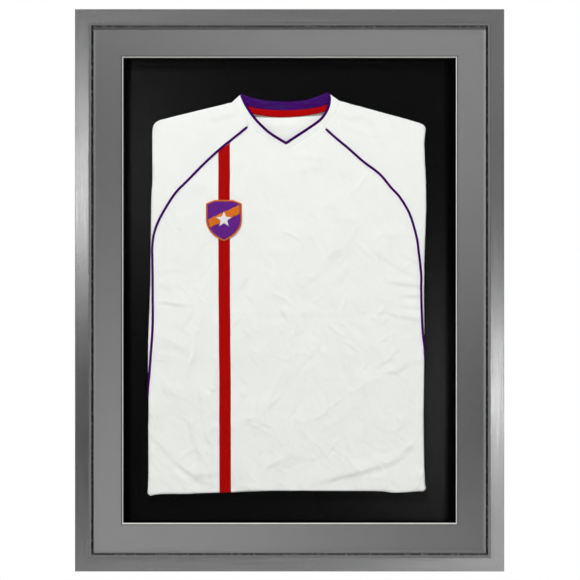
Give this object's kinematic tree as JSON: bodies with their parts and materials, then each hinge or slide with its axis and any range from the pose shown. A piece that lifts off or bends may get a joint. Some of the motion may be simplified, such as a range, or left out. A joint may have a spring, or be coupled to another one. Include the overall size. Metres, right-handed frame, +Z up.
{
  "type": "jersey display frame",
  "caption": "Wall-hung box frame with mitred metal rails, glazing and a bevelled mount, which displays a folded sports jersey against a black board",
  "frame": {"origin": "centre of the wall plane, which the four rear bumpers touch", "axes": "+Z up; the glazing faces -Y and the wall is at +Y; +X to the right of somebody who looks at the jersey"},
  "size_m": [0.645, 0.04, 0.845],
  "materials": {
    "rail_metal": "lengthwise brushed, grey anodised",
    "bracket_steel": "zinc plated",
    "black_steel": "black oxide",
    "gasket_rubber": "matt",
    "glazing": "clear, polished",
    "mount_card": "satin grey face, cream core",
    "black_board": "black, satin",
    "fibre_board": "bare medium-density fibre board",
    "zinc_steel": "bright zinc",
    "former_board": "matt white",
    "white_cloth": "fine polyester knit",
    "purple_cloth": "ribbed knit and covered cord",
    "red_cloth": "woven tape"
  },
  "bodies": {
    "frame": {"rail_top": "rail_metal", "rail_bottom": "rail_metal", "rail_left": "rail_metal", "rail_right": "rail_metal", "corner_bracket_bottom_left": "bracket_steel", "corner_bracket_top_left": "bracket_steel", "corner_bracket_top_right": "bracket_steel", "corner_bracket_bottom_right": "bracket_steel", "corner_set_screws": "black_steel", "gasket_top": "gasket_rubber", "gasket_bottom": "gasket_rubber", "gasket_left": "gasket_rubber", "gasket_right": "gasket_rubber", "wall_bumpers": "gasket_rubber", "glazing_sheet": "glazing", "mount_board": "mount_card", "spacer_top": "black_board", "spacer_bottom": "black_board", "spacer_left": "black_board", "spacer_right": "black_board", "inset_board": "black_board", "back_board": "fibre_board", "turn_button_screws": "zinc_steel", "hanger_screws": "zinc_steel", "mounting_pins": "zinc_steel", "hanger_strap_left": "zinc_steel", "hanger_strap_right": "zinc_steel", "shirt_former": "former_board", "jersey_front": "white_cloth", "jersey_back": "white_cloth", "jersey_sleeve_left": "white_cloth", "jersey_sleeve_right": "white_cloth", "collar_band_front": "white_cloth", "crest_star": "white_cloth", "collar_band_back": "purple_cloth", "neck_piping": "purple_cloth", "raglan_piping_left": "purple_cloth", "raglan_piping_right": "purple_cloth", "crest_patch": "purple_cloth", "neck_tape": "red_cloth", "chest_stripe": "red_cloth"},
    "turn_button_1_body": {"turn_button_1": "zinc_steel"},
    "turn_button_2_body": {"turn_button_2": "zinc_steel"},
    "turn_button_3_body": {"turn_button_3": "zinc_steel"},
    "turn_button_4_body": {"turn_button_4": "zinc_steel"},
    "turn_button_5_body": {"turn_button_5": "zinc_steel"},
    "turn_button_6_body": {"turn_button_6": "zinc_steel"},
    "turn_button_7_body": {"turn_button_7": "zinc_steel"},
    "turn_button_8_body": {"turn_button_8": "zinc_steel"},
    "turn_button_9_body": {"turn_button_9": "zinc_steel"},
    "turn_button_10_body": {"turn_button_10": "zinc_steel"},
    "hanger_ring_left_body": {"hanger_ring_left": "zinc_steel"},
    "hanger_ring_right_body": {"hanger_ring_right": "zinc_steel"}
  },
  "joints": [
    {"name": "turn_button_1_turn", "type": "hinge", "parent": "frame", "child": "turn_button_1_body", "pos_m": [-0.31135, -0.00415, 0.27], "axis": [0, 1, 0], "continuous": true},
    {"name": "turn_button_2_turn", "type": "hinge", "parent": "frame", "child": "turn_button_2_body", "pos_m": [-0.31135, -0.00415, 0], "axis": [0, 1, 0], "continuous": true},
    {"name": "turn_button_3_turn", "type": "hinge", "parent": "frame", "child": "turn_button_3_body", "pos_m": [-0.31135, -0.00415, -0.27], "axis": [0, 1, 0], "continuous": true},
    {"name": "turn_button_4_turn", "type": "hinge", "parent": "frame", "child": "turn_button_4_body", "pos_m": [0.31135, -0.00415, -0.27], "axis": [0, 1, 0], "continuous": true},
    {"name": "turn_button_5_turn", "type": "hinge", "parent": "frame", "child": "turn_button_5_body", "pos_m": [0.31135, -0.00415, 0], "axis": [0, 1, 0], "continuous": true},
    {"name": "turn_button_6_turn", "type": "hinge", "parent": "frame", "child": "turn_button_6_body", "pos_m": [0.31135, -0.00415, 0.27], "axis": [0, 1, 0], "continuous": true},
    {"name": "turn_button_7_turn", "type": "hinge", "parent": "frame", "child": "turn_button_7_body", "pos_m": [0.15, -0.00415, 0.41135], "axis": [0, 1, 0], "continuous": true},
    {"name": "turn_button_8_turn", "type": "hinge", "parent": "frame", "child": "turn_button_8_body", "pos_m": [-0.15, -0.00415, 0.41135], "axis": [0, 1, 0], "continuous": true},
    {"name": "turn_button_9_turn", "type": "hinge", "parent": "frame", "child": "turn_button_9_body", "pos_m": [-0.15, -0.00415, -0.41135], "axis": [0, 1, 0], "continuous": true},
    {"name": "turn_button_10_turn", "type": "hinge", "parent": "frame", "child": "turn_button_10_body", "pos_m": [0.15, -0.00415, -0.41135], "axis": [0, 1, 0], "continuous": true},
    {"name": "hanger_ring_left_swing", "type": "hinge", "parent": "frame", "child": "hanger_ring_left_body", "pos_m": [-0.31135, -0.0026, 0.21], "axis": [1, 0, 0], "range_deg": [0, 180]},
    {"name": "hanger_ring_right_swing", "type": "hinge", "parent": "frame", "child": "hanger_ring_right_body", "pos_m": [0.31135, -0.0026, 0.21], "axis": [1, 0, 0], "range_deg": [0, 180]}
  ]
}
